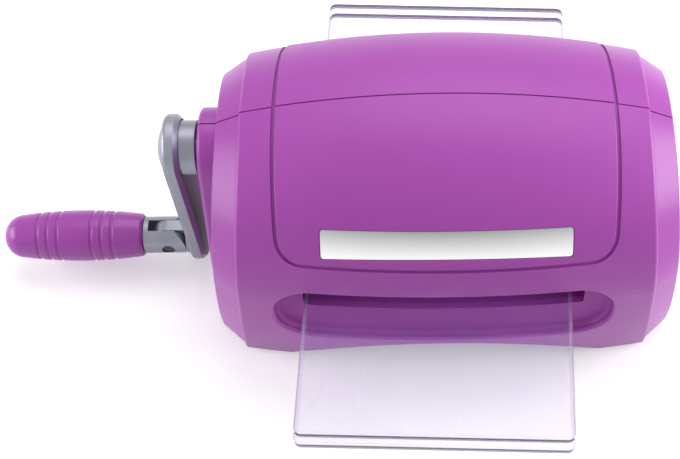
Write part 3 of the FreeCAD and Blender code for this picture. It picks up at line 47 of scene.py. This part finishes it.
PURPLE = srgb(163, 70, 168)
PURPLE_SHADE = srgb(156, 65, 161)
# Painted shade: the recess's colour, darker than the housing, where shade falls in it
RECESS_PAINTED_SHADE = srgb(146, 54, 150)
# Painted light: a lighter purple, with its cloudy variant, that lifts the shade in the slot and on the feed
# tables
PAINTED_LIGHT_PURPLE = srgb(214, 80, 216)
PAINTED_LIGHT_PURPLE_SHADE = srgb(206, 76, 208)
WHITE = (1, 1, 1, 1)

# Fields over the housing's recess and raised panel, seen along Y and placed as in the CAD model. The
# recess's is up to 0.2 mm smaller than the recess. The panel reaches over the crest, so its field has
# its middle high above it.
RECESS = {"centre": -0.001, "middle_level": 0.0495, "half_width": 0.0688, "half_height": 0.0188,
          "corner": 0.016}
PANEL = {"centre": 0.0, "middle_level": 0.2, "half_width": 0.0668, "half_height": 0.1161,
         "corner": 0.009}
FIELD_EDGE = 0.001
RECESS_DULLING, PANEL_DULLING = 0.3, 0.08

# How much of what lies behind them the clear plates' faces, rims and edges cover, from 0 to 1
FACE_COVER_LOW, FACE_COVER_HIGH = 0.064, 0.084
# The border's extra cover is part of the plates' painted highlight
RIM_COVER = 0.14
EDGE_COVER_LOW, EDGE_COVER_HIGH = 0.8, 0.96
RIM_WIDTH, RIM_FADE = 0.0011, 0.0004

EVEN_MARKS = (1, 1, 1)
MARKS_ROUND_X = (8, 0.3, 0.3)
MARKS_ACROSS_X = (6, 1, 1)


# Nodes

def add_node(tree, kind, **settings):
    """A new node of a shader tree, with its settings."""
    made = tree.nodes.new(kind)
    for name, value in settings.items():
        setattr(made, name, value)
    return made


class Finish:
    """A material on one Principled shader, with helpers for the nodes that feed it."""

    def __init__(self, name, constants):
        self.material = bpy.data.materials.new(name)
        self.material.use_nodes = True
        self.tree = self.material.node_tree
        self.tree.nodes.clear()
        self.shader = self.node("ShaderNodeBsdfPrincipled")
        for socket, value in constants.items():
            self.shader.inputs[socket].default_value = value
        output = self.node("ShaderNodeOutputMaterial")
        self.link(self.shader.outputs["BSDF"], output.inputs["Surface"])
        coordinates = self.node("ShaderNodeTexCoord")
        self.place = coordinates.outputs["Object"]
        self.facing = coordinates.outputs["Normal"]

    def node(self, kind, **settings):
        return add_node(self.tree, kind, **settings)

    def link(self, source, target):
        self.tree.links.new(source, target)

    def feed(self, value, socket):
        """Link a socket to a node's output, or set it to a number or a colour."""
        if isinstance(value, bpy.types.NodeSocket):
            self.link(value, socket)
        else:
            socket.default_value = value

    def stretched(self, scale):
        """The surface's place, stretched by a scale along each axis."""
        mapping = self.node("ShaderNodeMapping")
        mapping.inputs["Scale"].default_value = scale
        self.link(self.place, mapping.inputs["Vector"])
        return mapping.outputs["Vector"]

    def noise(self, scale, detail, rough=0.5, place=None):
        """Noise with about that many waves to a metre."""
        made = self.node("ShaderNodeTexNoise")
        made.inputs["Scale"].default_value = scale
        made.inputs["Detail"].default_value = detail
        made.inputs["Roughness"].default_value = rough
        self.link(place or self.place, made.inputs["Vector"])
        return made.outputs["Fac"]

    def ranged(self, value, low, high, start=0.3, end=0.7):
        """Low to high as the value goes from start to end, and held at them beyond."""
        made = self.node("ShaderNodeMapRange")
        made.inputs["From Min"].default_value = start
        made.inputs["From Max"].default_value = end
        made.inputs["To Min"].default_value = low
        made.inputs["To Max"].default_value = high
        self.link(value, made.inputs["Value"])
        return made.outputs["Result"]

    def computed(self, operation, *values):
        """The result of a Math node; a value may be a number or a node's output."""
        made = self.node("ShaderNodeMath", operation=operation)
        for value, socket in zip(values, made.inputs):
            self.feed(value, socket)
        return made.outputs[0]

    def plus(self, first, second):
        return self.computed("ADD", first, second)

    def minus(self, first, second):
        return self.computed("SUBTRACT", first, second)

    def times(self, first, second):
        return self.computed("MULTIPLY", first, second)

    def unsigned(self, value):
        return self.computed("ABSOLUTE", value)

    def split(self, vector):
        """The X, Y and Z parts of a vector."""
        made = self.node("ShaderNodeSeparateXYZ")
        self.link(vector, made.inputs["Vector"])
        return made.outputs

    def faces(self, axis):
        """1 where the surface faces along an axis, 0 where it leans away from it."""
        return self.ranged(self.split(self.facing)[axis], low=0, high=1, start=0.9, end=0.99)

    def above(self, level):
        """1 above a level, 0 below it."""
        return self.ranged(self.split(self.place)[Z], low=0, high=1, start=level, end=level + FIELD_EDGE)

    def round_field(self, centre, middle_level, half_width, half_height, corner):
        """1 within a round-cornered rectangle seen along Y, 0 outside it."""
        x, _, z = self.split(self.place)
        beside = self.minus(self.unsigned(self.minus(x, centre)), half_width - corner)
        above = self.minus(self.unsigned(self.minus(z, middle_level)), half_height - corner)
        squares = [self.computed("POWER", self.computed("MAXIMUM", way, 0), 2) for way in (beside, above)]
        reach = self.computed("SQRT", self.plus(*squares))
        return self.ranged(reach, low=1, high=0, start=corner - FIELD_EDGE, end=corner)

    def blended(self, factor, first, second):
        """The first colour turning into the second one with the factor."""
        made = self.node("ShaderNodeMix", data_type="RGBA")
        self.link(factor, made.inputs["Factor"])
        for letter, colour in (("A", first), ("B", second)):
            self.feed(colour, [s for s in made.inputs if s.name == letter and s.type == "RGBA"][0])
        return [s for s in made.outputs if s.type == "RGBA"][0]

    def paint(self, colour):
        self.link(colour, self.shader.inputs["Base Color"])

    def roughen(self, roughness):
        self.link(roughness, self.shader.inputs["Roughness"])

    def bump(self, height, depth, strength):
        """Surface relief of a depth in metres; a further relief adds to those before it."""
        made = self.node("ShaderNodeBump")
        made.inputs["Distance"].default_value = depth
        made.inputs["Strength"].default_value = strength
        self.link(height, made.inputs["Height"])
        target = self.shader.inputs["Normal"]
        if target.links:
            self.link(target.links[0].from_socket, made.inputs["Normal"])
        self.link(made.outputs["Normal"], target)


# Materials

def moulded_plastic(name, colour, shade, roughness, add_zones=None):
    """Moulded plastic with faint flow clouds and a fine grain; zones may change its tone and roughness."""
    finish = Finish(name, {"Specular IOR Level": 0.4})
    clouds = finish.noise(scale=18, detail=3)
    grain = finish.noise(scale=2600, detail=2, rough=0.6)
    tone = finish.blended(finish.ranged(clouds, low=0, high=0.5), colour, shade)
    texture = finish.ranged(grain, low=roughness - 0.05, high=roughness + 0.06)
    if add_zones:
        tone, texture = add_zones(finish, tone, texture)
    finish.paint(tone)
    finish.roughen(texture)
    finish.bump(grain, depth=0.00003, strength=0.35)
    finish.bump(clouds, depth=0.0004, strength=0.12)
    return finish.material


def housing_zones(finish, tone, texture):
    """The matt recess with a darker painted shade, a lighter painted light on the slot's up-facing floor in
    it, and the panel, which is a little duller.
    """
    recess = finish.round_field(**RECESS)
    panel = finish.round_field(**PANEL)
    # Painted light: up-facing surfaces in the upper half of the recess, in the slot, are coloured lighter to
    # lift their shade
    painted_light_ledge = finish.times(recess, finish.times(finish.faces(Z), finish.above(RECESS["middle_level"])))
    # Painted shade: the recess is coloured darker; its matt roughness and leathery grain are real
    tone = finish.blended(recess, tone, RECESS_PAINTED_SHADE)
    tone = finish.blended(painted_light_ledge, tone, PAINTED_LIGHT_PURPLE)
    texture = finish.plus(texture, finish.times(recess, RECESS_DULLING))
    texture = finish.plus(texture, finish.times(panel, PANEL_DULLING))
    leather = finish.noise(scale=1300, detail=2, rough=0.6)
    finish.bump(finish.times(recess, leather), depth=0.00005, strength=0.5)
    return tone, texture


def plate_half_sizes(plate, centre, turn):
    """Half the width, length and thickness of a plate that lies turned about Z."""
    straight = Matrix.Rotation(turn, 3, "Z")
    corners = [straight @ (vertex.co - centre) for vertex in frame["nodes"][plate].data.vertices]
    return [max(abs(corner[axis]) for corner in corners) for axis in (X, Y, Z)]


def clear_plastic(plate, along):
    """Clear sheet with a lavender tint: a painted highlight runs round its border, where light gathers, and
    a painted shade runs along its upper edge.
    """
    low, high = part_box(plate)
    centre = (low + high) / 2
    turn = math.atan2(along.x, along.y)
    half_width, half_length, half_height = plate_half_sizes(plate, centre, turn)
    finish = Finish("clear_" + plate, {})
    local = finish.node("ShaderNodeMapping", vector_type="TEXTURE")
    local.inputs["Location"].default_value = centre
    local.inputs["Rotation"].default_value = (0, 0, -turn)
    finish.link(finish.place, local.inputs["Vector"])
    x, y, z = finish.split(local.outputs["Vector"])

    from_side = finish.minus(half_width, finish.unsigned(x))
    from_end = finish.minus(half_length, finish.unsigned(y))
    inwards = finish.computed("MINIMUM", from_side, from_end)
    # Painted highlight: faces near the plate's border are lighter and cover more, standing in for the light
    # gathered there
    painted_highlight_rim = finish.ranged(inwards, low=1, high=0, start=RIM_WIDTH, end=RIM_WIDTH + RIM_FADE)
    level = finish.unsigned(finish.split(finish.facing)[Z])
    edge = finish.ranged(level, low=1, high=0, start=0.75, end=0.92)
    # Painted shade: the upper part of the side faces is coloured dark, standing in for the dark look of the
    # plate's upper edge
    painted_shade_line = finish.ranged(z, low=0, high=1, start=half_height * -0.15, end=0)
    face_tone = finish.blended(painted_highlight_rim, srgb(152, 112, 202), srgb(205, 175, 222))
    # The dark colour here is painted shade
    edge_tone = finish.blended(painted_shade_line, srgb(152, 148, 178), srgb(46, 12, 64))
    finish.paint(finish.blended(edge, face_tone, edge_tone))

    scratches = finish.noise(scale=60, detail=4, rough=0.7, place=finish.stretched((60, 1.2, 1)))
    crossing = finish.noise(scale=60, detail=4, rough=0.7, place=finish.stretched((1.5, 45, 1)))
    wear = finish.ranged(scratches, FACE_COVER_LOW, FACE_COVER_HIGH, start=0.4, end=0.8)
    face_cover = finish.plus(wear, finish.times(painted_highlight_rim, RIM_COVER))
    edge_cover = finish.ranged(painted_shade_line, EDGE_COVER_LOW, EDGE_COVER_HIGH, start=0, end=1)
    cover = finish.plus(face_cover, finish.times(finish.minus(edge_cover, face_cover), edge))
    finish.link(cover, finish.shader.inputs["Alpha"])
    finish.roughen(finish.ranged(scratches, low=0.05, high=0.16, start=0.5, end=0.8))
    finish.bump(scratches, depth=0.00001, strength=0.15)
    finish.bump(crossing, depth=0.00001, strength=0.12)
    return finish.material


def label_paper(name, label):
    """Satin label strip that turns from grey at its upper edge to white at its lower edge."""
    low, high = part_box(label)
    finish = Finish(name, {"Roughness": 0.34, "Metallic": 0.7})
    height = finish.ranged(finish.split(finish.place)[Z], low=0, high=1, start=low.z, end=high.z)
    fibres = finish.noise(scale=900, detail=4, rough=0.6, place=finish.stretched((0.3, 1, 1)))
    tone = finish.blended(finish.computed("POWER", height, 1.35), WHITE, srgb(160, 160, 162))
    finish.paint(finish.blended(finish.ranged(fibres, low=0, high=0.06), tone, srgb(200, 198, 206)))
    finish.bump(fibres, depth=0.00002, strength=0.2)
    return finish.material


def grey_casting(name, painted_shade_inside=False):
    """Silver-grey coated die casting with a fine grain; its face towards +X may get a dark painted shade."""
    finish = Finish(name, {"Metallic": 0.7, "Specular IOR Level": 0.5})
    grain = finish.noise(scale=1900, detail=3, rough=0.6)
    patches = finish.noise(scale=70, detail=3)
    tone = finish.blended(finish.ranged(patches, low=0, high=1), srgb(147, 148, 160), srgb(136, 137, 149))
    # Painted shade: the face towards +X is coloured dark, where shade falls between the arm and the housing
    if painted_shade_inside:
        tone = finish.blended(finish.faces(X), tone, srgb(40, 26, 50))
    finish.paint(tone)
    finish.roughen(finish.ranged(grain, low=0.30, high=0.42))
    finish.bump(grain, depth=0.00004, strength=0.4)
    finish.bump(patches, depth=0.0002, strength=0.2)
    return finish.material


def dark_moulding(name, colour, roughness, grain_depth):
    """Black moulding or rubber with a leathery grain."""
    finish = Finish(name, {"Specular IOR Level": 0.4})
    grain = finish.noise(scale=1500, detail=3, rough=0.65)
    lighter = (*(part * 1.5 for part in colour[:3]), 1.0)
    finish.paint(finish.blended(finish.ranged(grain, low=0, high=0.6), colour, lighter))
    finish.roughen(finish.ranged(grain, low=roughness - 0.08, high=roughness + 0.08))
    finish.bump(grain, depth=grain_depth, strength=0.5)
    return finish.material


def bare_metal(name, colour, patch_colour, roughness, stretch=EVEN_MARKS):
    """Metal with patches and tool marks, which are closest along the axis that is stretched most."""
    finish = Finish(name, {"Metallic": 1.0})
    marks = finish.noise(scale=400, detail=4, rough=0.7, place=finish.stretched(stretch))
    patches = finish.noise(scale=120, detail=3)
    finish.paint(finish.blended(finish.ranged(patches, low=0, high=0.7), colour, patch_colour))
    finish.roughen(finish.ranged(marks, low=roughness - 0.07, high=roughness + 0.09))
    finish.bump(marks, depth=0.00001, strength=0.4)
    return finish.material


def all_finishes():
    """The materials by slot; each clear plate gets its own one apart from these."""
    return {
        "housing_plastic": moulded_plastic("housing_purple", PURPLE, PURPLE_SHADE, 0.34, housing_zones),
        "grip_plastic": moulded_plastic("grip_purple", PURPLE, PURPLE_SHADE, 0.25),
        # Painted light: the feed tables take the lighter purple to lift the shade inside the slot
        "table_plastic": moulded_plastic("table_purple", PAINTED_LIGHT_PURPLE, PAINTED_LIGHT_PURPLE_SHADE, 0.4),
        "label_strip": label_paper("label_satin", "label_plate"),
        "grey_casting": grey_casting("coated_casting"),
        "arm_casting": grey_casting("coated_arm_casting", painted_shade_inside=True),
        "black_plastic": dark_moulding("black_moulding", srgb(38, 38, 41), 0.5, 0.00005),
        "rubber": dark_moulding("foot_rubber", srgb(30, 30, 32), 0.75, 0.0001),
        "plated_steel": bare_metal("plated_steel", srgb(188, 190, 196), srgb(172, 176, 186), 0.3),
        "ground_steel": bare_metal("ground_steel", srgb(196, 198, 202), srgb(188, 190, 196), 0.2,
                                   MARKS_ROUND_X),
        "spring_steel": bare_metal("spring_steel", srgb(72, 74, 82), srgb(58, 60, 70), 0.35),
        "gear_steel": bare_metal("gear_steel", srgb(150, 151, 155), srgb(132, 132, 138), 0.38,
                                 MARKS_ACROSS_X),
        "bronze": bare_metal("oiled_bronze", srgb(176, 132, 84), srgb(146, 104, 64), 0.42),
    }


# Pieces that look different from their slot's material in the record
LOOKS_LIKE = {
    # Painted light: the feed tables are coloured a lighter purple that lifts the shade in the slot
    "front_feed_table": "table_plastic",
    "rear_feed_table": "table_plastic",
    "fold_pin": "spring_steel",
    # The crank arm's face towards the housing gets painted shade
    "crank_arm": "arm_casting",
}


def dress_nodes():
    """Give each CAD piece its material."""
    finishes = all_finishes()
    joints = {joint["name"]: joint for joint in frame["record"]["behaviour"]["joints"]}
    travel = Vector(joints["plate_slide"]["axis"])
    for entry in frame["record"]["subparts"]:
        name = entry["node"]
        slot = LOOKS_LIKE.get(name, entry["material_slot"])
        finish = clear_plastic(name, travel) if slot == "clear_plastic" else finishes[slot]
        materials = frame["nodes"][name].data.materials
        materials.clear()
        materials.append(finish)


# Floor, light and camera

SOFTBOXES = {
    "overhead_softbox": {
        "place": (0.15, 0.6, 1.2), "target": (0, 0, 0.06), "sides": (1.2, 1.0), "power": 8.6},
    "right_softbox": {
        "place": (1.1, 0.05, 0.5), "target": (0.09, 0, 0.1), "sides": (0.85, 0.6), "power": 12.8},
    "left_softbox": {
        "place": (-1.1, -0.05, 0.45), "target": (-0.09, 0, 0.1), "sides": (0.8, 0.55), "power": 8.0},
}
WORLD_STRENGTH = 0.38
FLOOR_HALF_SIDE = 3.0

# The floor's glow to the camera: its low and high strength, and how far from the middle they are reached
GLOW = {"low": 0.31, "high": 0.85, "start": 0.35, "end": 1.5}


def seen_directly(tree):
    """1 for rays from the camera and for those that a mirror or glass sends on."""
    path = add_node(tree, "ShaderNodeLightPath")
    seen = path.outputs["Is Camera Ray"]
    for kind in ("Is Glossy Ray", "Is Transmission Ray"):
        either = add_node(tree, "ShaderNodeMath", operation="MAXIMUM")
        tree.links.new(seen, either.inputs[0])
        tree.links.new(path.outputs[kind], either.inputs[1])
        seen = either.outputs[0]
    return seen


def studio_floor():
    """A pale floor that keeps the shadow and glows towards white away from the object."""
    half = FLOOR_HALF_SIDE
    mesh = bpy.data.meshes.new("studio_floor")
    corners = [(-half, -half, 0), (half, -half, 0), (half, half, 0), (-half, half, 0)]
    mesh.from_pydata(corners, [], [(0, 1, 2, 3)])
    floor = bpy.data.objects.new("studio_floor", mesh)
    bpy.context.scene.collection.objects.link(floor)
    finish = Finish("floor_paper", {"Base Color": srgb(246, 246, 246), "Roughness": 0.9,
                                    "Specular IOR Level": 0.1, "Emission Color": WHITE})
    from_middle = finish.node("ShaderNodeVectorMath", operation="LENGTH")
    finish.link(finish.place, from_middle.inputs[0])
    glow = finish.ranged(from_middle.outputs["Value"], **GLOW)
    finish.link(finish.times(seen_directly(finish.tree), glow), finish.shader.inputs["Emission Strength"])
    finish.bump(finish.noise(scale=300, detail=4), depth=0.0001, strength=0.1)
    mesh.materials.append(finish.material)


def studio_world(strength):
    """Even white light of a strength, which the camera and reflections see as plain white."""
    world = bpy.data.worlds.new("studio")
    world.use_nodes = True
    tree = world.node_tree
    tree.nodes.clear()
    background = add_node(tree, "ShaderNodeBackground")
    background.inputs["Color"].default_value = WHITE
    level = add_node(tree, "ShaderNodeMapRange")
    level.inputs["To Min"].default_value = strength
    level.inputs["To Max"].default_value = 1.0
    tree.links.new(seen_directly(tree), level.inputs["Value"])
    tree.links.new(level.outputs["Result"], background.inputs["Strength"])
    output = add_node(tree, "ShaderNodeOutputWorld")
    tree.links.new(background.outputs["Background"], output.inputs["Surface"])
    bpy.context.scene.world = world


def softbox(name, place, target, sides, power):
    """A large soft lamp, aimed at a point."""
    lamp = bpy.data.lights.new(name, "AREA")
    lamp.shape = "RECTANGLE"
    lamp.size, lamp.size_y = sides
    lamp.energy = power
    holder = bpy.data.objects.new(name, lamp)
    bpy.context.scene.collection.objects.link(holder)
    holder.location = place
    holder.rotation_euler = (Vector(target) - Vector(place)).to_track_quat("-Z", "Y").to_euler()


def photo_camera():
    """The photograph's viewpoint: how far round, how steep and how tilted the camera was."""
    turn = math.radians(1.4)
    tilt = math.radians(0.55)
    down_slope = math.asin(0.851)
    distance, height = 0.3138, 0.5282
    focal_pixels = 1322
    centre_x, centre_y = 443.8, 230.0
    round_z = Matrix.Rotation(-turn, 3, "Z")
    look = round_z @ Vector((0, math.cos(down_slope), -math.sin(down_slope)))
    right = round_z @ Vector((1, 0, 0))
    up = right.cross(look)
    roll = Matrix.Rotation(-tilt, 3, look)
    right, up = roll @ right, roll @ up
    data = bpy.data.cameras.new("photo_camera")
    data.sensor_width = 36
    data.lens = focal_pixels / IMAGE_WIDTH * data.sensor_width
    data.shift_x = (IMAGE_WIDTH / 2 - centre_x) / IMAGE_WIDTH
    data.shift_y = (centre_y - IMAGE_HEIGHT / 2) / IMAGE_WIDTH
    data.clip_start, data.clip_end = 0.01, 20
    camera = bpy.data.objects.new("photo_camera", data)
    bpy.context.scene.collection.objects.link(camera)
    basis = Matrix((right, up, -look)).transposed().to_4x4()
    camera.matrix_world = Matrix.Translation(round_z @ Vector((0, -distance, height))) @ basis
    bpy.context.scene.camera = camera


dress_nodes()
studio_floor()
studio_world(WORLD_STRENGTH)
for lamp_name, values in SOFTBOXES.items():
    softbox(lamp_name, **values)
photo_camera()
bpy.context.scene.view_settings.view_transform = "Standard"
